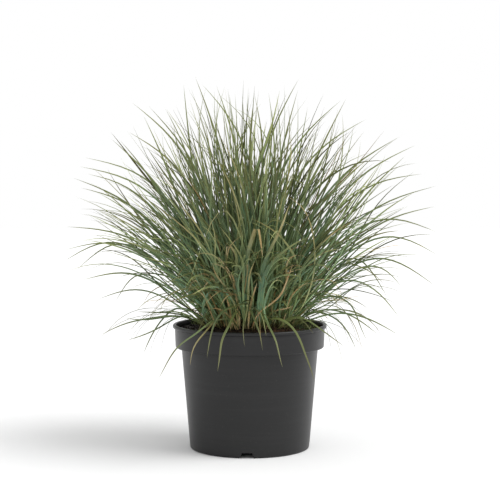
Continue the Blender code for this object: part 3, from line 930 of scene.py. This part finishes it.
def placed(x, z, y):
    """A place seen at x, z on the plane through the axis, moved along its sight line to y."""
    eye = np.array(EYE)
    seen = np.array((x, 0.0, z)) / 1000.0
    return eye + (seen - eye) * (y / 1000.0 - eye[1]) / -eye[1]


def facing_turn(chord):
    """Turn about its own length that lays a leaf's width square to the front view."""
    x, y, z = unit(chord)
    return atan2(-x, -z * y)


def leaf_rows(table):
    """The leaves of a table at the top: width, tone, dryness, root and the places passed."""
    lines = [line for line in table.splitlines() if line and line[0] != "#"]
    rows = "\n".join(lines).replace(",\n", ",").split("\n")
    leaves = [[tuple(map(float, part.split())) for part in row.split(",")] for row in rows]
    return [(leaf[0][0], *(share / 100.0 for share in leaf[0][1:]), *leaf[1:]) for leaf in leaves]


def listed_line(leaf):
    """The middle line of a listed leaf."""
    root, *passed = leaf[4:]
    points = [(root[0] / 1000.0, root[1] / 1000.0, SOIL_TOP - ROOT_DEPTH)]
    return spline(points + [placed(*place) for place in passed])


def add_listed(blades, rng, leaf, width_share, shade):
    """One leaf of the tables at the top."""
    width, tone, dry_base, dry_tip = leaf[:4]
    line = listed_line(leaf)
    blades.add(
        line[None],
        np.array([width_share * width / 1000.0]),
        facing_turn(line[-1] - line[0]) + turns(rng, 11.0, 1),
        turns(rng, 15.0, 1),
        np.array([tone]),
        np.array([[dry_base, dry_tip]]),
        shade * rng.uniform(0.90, 1.10, 1),
    )


def tuft_of(root):
    """Number of the tuft whose cell of the crown holds a root, given in millimetres."""
    share = min(hypot(*root) / 1000.0 / CROWN_RADIUS, 0.999)
    counted = 0
    for tufts, turn in zip(RING_TUFTS, RING_TURN):
        if share**2 <= (counted + tufts) / sum(RING_TUFTS):
            break
        counted += tufts
    step = tau / tufts
    turned = (atan2(root[1], root[0]) - radians(turn)) % tau
    return counted + int(turned / step) + 1


def drooping_tuft_of(root):
    return int(atan2(root[1], root[0]) % tau / (tau / DROOP_TUFTS)) + 1


def build_grass():
    rng = np.random.default_rng(SEED)
    green = blade_material("blue_green_leaf", *BLUE_GREEN)
    yellow = blade_material("yellow_green_leaf", *YELLOW_GREEN)
    listed = [(leaf, *OUTLINE_FACTORS) for leaf in leaf_rows(OUTLINE_LEAVES)]
    for leaf in leaf_rows(FRONT_LEAVES):
        listed.append(((*leaf[:5], *map(brought_forward, leaf[5:])), *FRONT_FACTORS))
    taken = list(arc_places(np.array([listed_line(leaf) for leaf, *_ in listed])))
    number = 0
    for tufts, turn, tillers in zip(RING_TUFTS, RING_TURN, RING_TILLERS):
        inner = sqrt(number / sum(RING_TUFTS))
        outer = sqrt((number + tufts) / sum(RING_TUFTS))
        for i in range(tufts):
            number += 1
            azimuth = tau * (i + 0.5) / tufts + radians(turn)
            cell = inner, outer, azimuth, pi / tufts
            blades = Blades()
            ring_tuft(blades, rng, cell, tillers, taken)
            if tufts in RING_TUFTS[-2:]:
                curled_leaves(blades, rng, cell)
            for leaf, *factors in listed:
                if tuft_of(leaf[4]) == number:
                    add_listed(blades, rng, leaf, *factors)
            name = f"tuft_{number:02d}"
            add_piece(blades.mesh(f"{name}_blades"), green, "grass_blades", name)
    for i in range(DROOP_TUFTS):
        azimuth = tau * (i + 0.5) / DROOP_TUFTS
        blades = Blades()
        if sin(azimuth) > FRONT_SINE:
            drooping_tuft(blades, rng, azimuth)
        for leaf in leaf_rows(RIM_LEAVES):
            if drooping_tuft_of(leaf[4]) == i + 1:
                add_listed(blades, rng, leaf, *RIM_FACTORS)
        name = f"drooping_tuft_{i + 1}"
        add_piece(blades.mesh(f"{name}_blades"), yellow, "drooping_blades", name)


# ---- pot


def corner_arc(x, z, radius, start, steps=5, up=None):
    """A quarter turn of a rounded corner about x, z, from an angle in degrees."""
    angles = [radians(start + 90.0 * i / steps) for i in range(steps + 1)]
    return [(x + radius * cos(angle), z + (up or radius) * sin(angle)) for angle in angles]


def body_outside(height):
    share = (height - FOOT_CORNER) / (COLLAR_BOTTOM - FOOT_CORNER)
    return FOOT_TOP_RADIUS + (BODY_TOP_RADIUS - FOOT_TOP_RADIUS) * share


def pot_outline():
    """Whole closed outline: underside, foot, wall, collar, rolled lip, then down the inside."""
    foot_inside = FOOT_RADIUS - FOOT_WIDTH
    lip_low = POT_HEIGHT - LIP_HEIGHT
    lip_middle = LIP_RADIUS - LIP_ROUND
    collar_middle = COLLAR_BOTTOM_RADIUS - COLLAR_CORNER
    inside = COLLAR_TOP_RADIUS - WALL
    heights = [FOOT_CORNER + (COLLAR_BOTTOM - FOOT_CORNER) * i / 12 for i in range(1, 12)]
    return [
        (0.0, BASE_UNDERSIDE),
        (foot_inside, BASE_UNDERSIDE),
        (foot_inside, 0.0),
        *corner_arc(FOOT_RADIUS, FOOT_CORNER, FOOT_TOP_RADIUS - FOOT_RADIUS, -90, up=FOOT_CORNER),
        *((body_outside(height), height) for height in heights),
        (BODY_TOP_RADIUS, COLLAR_BOTTOM - 0.0008),
        (BODY_TOP_RADIUS + 0.0008, COLLAR_BOTTOM),
        *corner_arc(collar_middle, COLLAR_BOTTOM + COLLAR_CORNER, COLLAR_CORNER, -90, 6),
        (COLLAR_TOP_RADIUS, lip_low - 0.0006),
        (COLLAR_TOP_RADIUS + 0.0007, lip_low),
        *corner_arc(lip_middle, lip_low + LIP_ROUND, LIP_ROUND, -90),
        *corner_arc(lip_middle, POT_HEIGHT - LIP_ROUND, LIP_ROUND, 0, 6),
        *corner_arc(inside + LIP_EDGE, POT_HEIGHT - LIP_EDGE, LIP_EDGE, 90, 4),
        (inside, lip_low),
        (COLLAR_BOTTOM_RADIUS - WALL, LEDGE_HEIGHT),
        (BODY_TOP_RADIUS - WALL, LEDGE_HEIGHT),
        (body_outside(BASE_TOP) - WALL, BASE_TOP),
        (0.0, BASE_TOP),
    ]


def turned_mesh(name, outline, steps):
    form = bmesh.new()
    corners = [form.verts.new((radius, 0.0, height)) for radius, height in outline]
    edges = [form.edges.new(pair) for pair in zip(corners, corners[1:])]
    turn = {"cent": (0.0, 0.0, 0.0), "axis": (0.0, 0.0, 1.0), "angle": tau}
    bmesh.ops.spin(form, geom=corners + edges, steps=steps, use_merge=True, **turn)
    bmesh.ops.remove_doubles(form, verts=form.verts, dist=1e-6)
    bmesh.ops.dissolve_degenerate(form, edges=form.edges, dist=1e-7)
    return mesh_of(form, name)


def notch_cutter(index):
    """Trapezoid bar across the foot, lying along its own radius."""
    form = bmesh.new()
    slope = (NOTCH_FLOOR_WIDTH - NOTCH_TOP_WIDTH) / 2 / NOTCH_HEIGHT
    low_half = NOTCH_FLOOR_WIDTH / 2 + slope * CUTTER_DROP
    top_half = NOTCH_TOP_WIDTH / 2
    section = ((-low_half, -CUTTER_DROP), (low_half, -CUTTER_DROP))
    section += ((top_half, NOTCH_HEIGHT), (-top_half, NOTCH_HEIGHT))
    rings = []
    for radius in NOTCH_RADII:
        rings.append([form.verts.new((across, -radius, height)) for across, height in section])
        form.faces.new(rings[-1])
    join_rings(form, *rings)
    cutter = add_object(f"notch_cutter_{index}", mesh_of(form, "notch_cutter"))
    cutter.rotation_euler.z = NOTCH_TURN + tau * index / NOTCH_COUNT
    return cutter


def build_pot():
    blank = add_object("pot_blank", turned_mesh("pot_blank", pot_outline(), POT_STEPS))
    cutters = [notch_cutter(index) for index in range(NOTCH_COUNT)]
    for cutter in cutters:
        cut = blank.modifiers.new(cutter.name, "BOOLEAN")
        given(cut, operation="DIFFERENCE", solver="EXACT", object=cutter)
    graph = bpy.context.evaluated_depsgraph_get()
    mesh = bpy.data.meshes.new_from_object(blank.evaluated_get(graph))
    mesh.name = "pot_shell"
    for item in [blank, *cutters]:
        bpy.data.objects.remove(item, do_unlink=True)
    add_piece(shaded(mesh, 32.0), pot_material(), "pot_plastic", "pot")


# ---- growing mix


def soil_height(x, y):
    radius = hypot(x, y)
    mound = SOIL_MOUND * max(0.0, 1.0 - (radius / SOIL_MOUND_RADIUS) ** 2)
    sunk = max(0.0, (radius - SOIL_FLAT_RADIUS) / (SOIL_RADIUS - SOIL_FLAT_RADIUS)) ** 1.1
    height = SOIL_TOP + mound - SOIL_EDGE_DROP * sunk
    rough = 0.0
    for depth, scale, layer in SOIL_ROUGHNESS:
        rough += depth * noise.noise((x * scale, y * scale, layer))
    return height + rough


def build_mix():
    """The plug: a rough top on the straight sides and base of the model's own solid."""
    form = bmesh.new()
    angles = [tau * i / SOIL_STEPS for i in range(SOIL_STEPS)]
    low, ledge = BASE_TOP + GAP, LEDGE_HEIGHT + GAP
    rings = []
    for radius, height in (
        (body_outside(BASE_TOP) - WALL - GAP, low),
        (BODY_TOP_RADIUS - WALL - GAP, ledge),
        (COLLAR_BOTTOM_RADIUS - WALL - GAP, ledge),
        *((SOIL_RADIUS * k / SOIL_RINGS, None) for k in range(SOIL_RINGS, 0, -1)),
    ):
        ring = [(radius * cos(angle), radius * sin(angle)) for angle in angles]
        rings.append([form.verts.new((x, y, height or soil_height(x, y))) for x, y in ring])
    for pair in zip(rings, rings[1:]):
        join_rings(form, *pair)
    for ring, height in ((rings[0], low), (rings[-1], soil_height(0.0, 0.0))):
        middle = form.verts.new((0.0, 0.0, height))
        for i in range(SOIL_STEPS):
            form.faces.new((ring[i], ring[(i + 1) % SOIL_STEPS], middle))
    mesh = shaded(mesh_of(form, "mix_plug"), 50.0)
    material = soil_material("dark_mix", *MIX_BROWNS, 260.0)
    add_piece(mesh, material, "growing_mix", "growing_mix")


def lump(form, rng, place, size, flatness):
    """One rough crumb, an icosphere pulled about by noise."""
    turn = Euler(rng.uniform(0.0, tau, 3)).to_matrix().to_4x4()
    shape = Matrix.Diagonal((size, size * rng.uniform(0.5, 0.9), size * flatness, 1.0))
    made = bmesh.ops.create_icosphere(form, subdivisions=1, radius=1.0)
    offset = Vector(rng.uniform(-50.0, 50.0, 3))
    for vertex in made["verts"]:
        vertex.co *= 1.0 + 0.42 * noise.noise(vertex.co * 1.6 + offset)
    matrix = Matrix.Translation(place) @ turn @ shape
    bmesh.ops.transform(form, matrix=matrix, verts=made["verts"])


def build_crumbs():
    rng = np.random.default_rng(SEED + 1)
    for name, count, sizes, flatness, *browns in LOOSE_BITS:
        form = bmesh.new()
        for _ in range(count):
            radius = LOOSE_RADIUS * sqrt(rng.uniform(0.12, 1.0))
            angle = rng.uniform(0.0, tau)
            size = rng.uniform(*sizes) if radius < CROWDED_RADIUS else sizes[0] * 1.3
            x, y = radius * cos(angle), radius * sin(angle)
            lump(form, rng, Vector((x, y, soil_height(x, y) + size * 0.25)), size, flatness)
        mesh = mesh_of(form, name)
        mesh.shade_smooth()
        add_piece(mesh, soil_material(name, *browns, 500.0), "growing_mix")


def build_moss():
    """Short shoots in patches, thickest at the right of the crown."""
    rng = np.random.default_rng(SEED + 2)
    roots = []
    for x, y, spread, shoots in MOSS_PATCHES:
        for _ in range(shoots):
            px, py = x + rng.normal(0.0, spread), y + rng.normal(0.0, spread)
            if hypot(px, py) < MOSS_RADIUS:
                roots.append((px, py, soil_height(px, py) - 0.0005))
    count = len(roots)
    start = turns(rng, 22.0, (count, 2))
    chord = rng.uniform(0.0025, 0.0075, count)
    lines = lean_lines(start, start * 1.8, np.ones(count))
    lines = np.array(roots)[:, None, :] + lines * chord[:, None, None]
    blades = Blades(steps=4)
    width = rng.uniform(0.0006, 0.0013, count)
    twist = rng.uniform(0, 3.0, count)
    flat, dry = np.zeros(count), np.zeros((count, 2))
    blades.add(lines, width, twist, flat, rng.random(count), dry, flat + 1.0)
    add_piece(blades.mesh("moss_patches"), moss_material(), "grass_blades")


# ---- camera, light, floor


def build_stage():
    scene = bpy.context.scene
    camera = add_object("camera", bpy.data.cameras.new("camera"))
    given(camera.data, lens=LENS_MM, sensor_width=SENSOR_MM, clip_start=0.05, clip_end=50.0)
    camera.location = EYE
    camera.rotation_euler = (pi / 2 - CAMERA_PITCH, 0.0, 0.0)
    scene.camera = camera

    world = bpy.data.worlds.new("studio")
    world.use_nodes = True
    background = world.node_tree.nodes["Background"]
    set_inputs(background, Color=(1.0, 1.0, 1.0, 1.0), Strength=WORLD_STRENGTH)
    scene.world = world

    key = add_object("key", bpy.data.lights.new("key", "SUN"))
    given(key.data, energy=KEY_STRENGTH, angle=KEY_ANGLE)
    flat = cos(KEY_ELEVATION)
    towards = (flat * cos(KEY_AZIMUTH), flat * sin(KEY_AZIMUTH), sin(KEY_ELEVATION))
    key.rotation_euler = Vector(towards).to_track_quat("Z", "Y").to_euler()

    mesh = bpy.data.meshes.new("floor")
    half = FLOOR_SIZE / 2
    corners = [(-half, -half, 0.0), (half, -half, 0.0), (half, half, 0.0), (-half, half, 0.0)]
    mesh.from_pydata(corners, [], [(0, 1, 2, 3)])
    mesh.materials.append(floor_material())
    add_object("floor", mesh)

    given(scene.view_settings, view_transform="Standard", look="None", exposure=0.0, gamma=1.0)


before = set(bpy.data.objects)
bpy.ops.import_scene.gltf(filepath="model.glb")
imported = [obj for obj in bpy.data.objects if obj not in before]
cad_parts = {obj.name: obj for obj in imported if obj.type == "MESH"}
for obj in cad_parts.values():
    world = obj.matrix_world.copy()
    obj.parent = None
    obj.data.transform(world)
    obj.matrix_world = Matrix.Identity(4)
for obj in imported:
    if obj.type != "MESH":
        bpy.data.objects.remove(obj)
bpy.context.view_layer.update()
build_pot()
build_mix()
build_crumbs()
build_moss()
build_grass()
build_stage()
bpy.context.view_layer.update()
